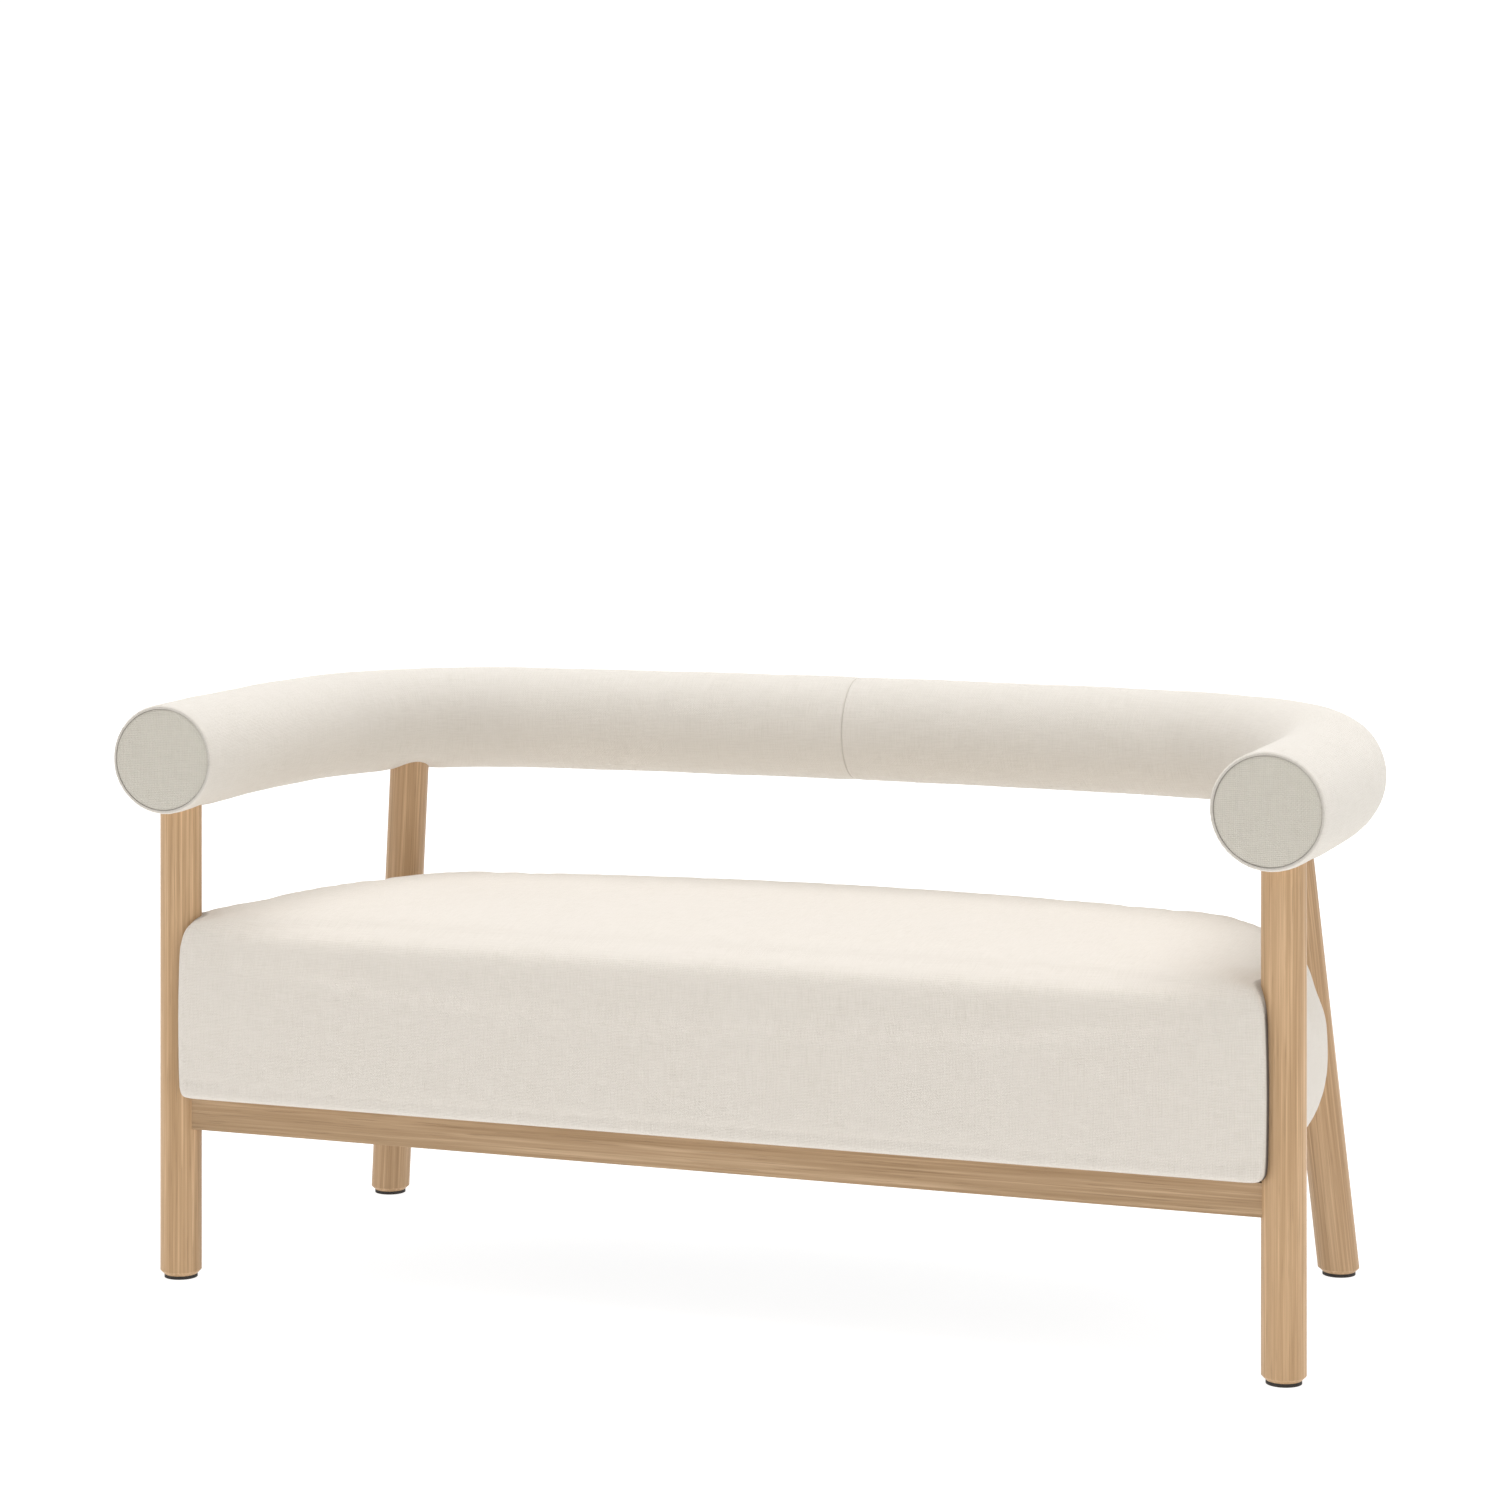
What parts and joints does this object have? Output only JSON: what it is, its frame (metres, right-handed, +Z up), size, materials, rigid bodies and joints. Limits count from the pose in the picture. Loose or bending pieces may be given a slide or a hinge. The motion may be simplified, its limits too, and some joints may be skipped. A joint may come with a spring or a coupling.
{
  "type": "two-seat sofa",
  "caption": "Low two-seat bench sofa with a round upholstered bolster bent into a U for arms and back, a thick D-shaped seat, a straight wooden front rail and round wooden legs.",
  "frame": {"origin": "on the floor, under the centre of the sofa's bounding box", "axes": "+Z up, -Y is the front, +X is the viewer's right when facing the front"},
  "size_m": [1.4876, 0.6795, 0.6985],
  "materials": {
    "oak": "satin",
    "beech": "matte",
    "plywood": "matte",
    "fabric": "matte",
    "wadding": "matte",
    "foam": "matte",
    "black_cloth": "matte",
    "webbing": "matte",
    "pad": "matte",
    "steel": "satin",
    "brass": "satin"
  },
  "bodies": {
    "root": {"front_leg_left": "oak", "front_leg_right": "oak", "rear_leg_left": "oak", "rear_leg_right": "oak", "front_rail": "oak", "front_glide_left": "pad", "front_glide_right": "pad", "rear_glide_left": "pad", "rear_glide_right": "pad", "glide_screws": "steel", "seat_front_board": "beech", "seat_side_board_left": "beech", "seat_side_board_right": "beech", "seat_rear_corner_left": "beech", "seat_rear_corner_right": "beech", "seat_back_board": "beech", "seat_centre_bearer": "beech", "front_corner_block_left": "beech", "front_corner_block_right": "beech", "rear_corner_block_left": "beech", "rear_corner_block_right": "beech", "corner_block_screws": "steel", "bearer_screws": "steel", "rail_screws": "steel", "cross_webbing": "webbing", "long_webbing": "webbing", "seat_foam": "foam", "seat_wadding": "wadding", "seat_cover": "fabric", "dust_cover": "black_cloth", "leg_bolts": "steel", "leg_bolt_washers": "steel", "leg_inserts": "brass", "rear_spacer_left": "oak", "rear_spacer_right": "oak", "core_back": "plywood", "core_corner_left": "plywood", "core_corner_right": "plywood", "core_arm_left": "plywood", "core_arm_right": "plywood", "core_dowels": "beech", "core_bolts": "steel", "core_bolt_washers": "steel", "leg_top_inserts": "brass", "foam_back": "foam", "foam_corner_left": "foam", "foam_corner_right": "foam", "foam_arm_left": "foam", "foam_arm_right": "foam", "bolster_cover_left": "fabric", "bolster_cover_right": "fabric", "end_board_left": "plywood", "end_board_right": "plywood", "end_board_screws": "steel", "end_pad_left": "wadding", "end_pad_right": "wadding", "end_panel_left": "fabric", "end_panel_right": "fabric"}
  },
  "joints": []
}
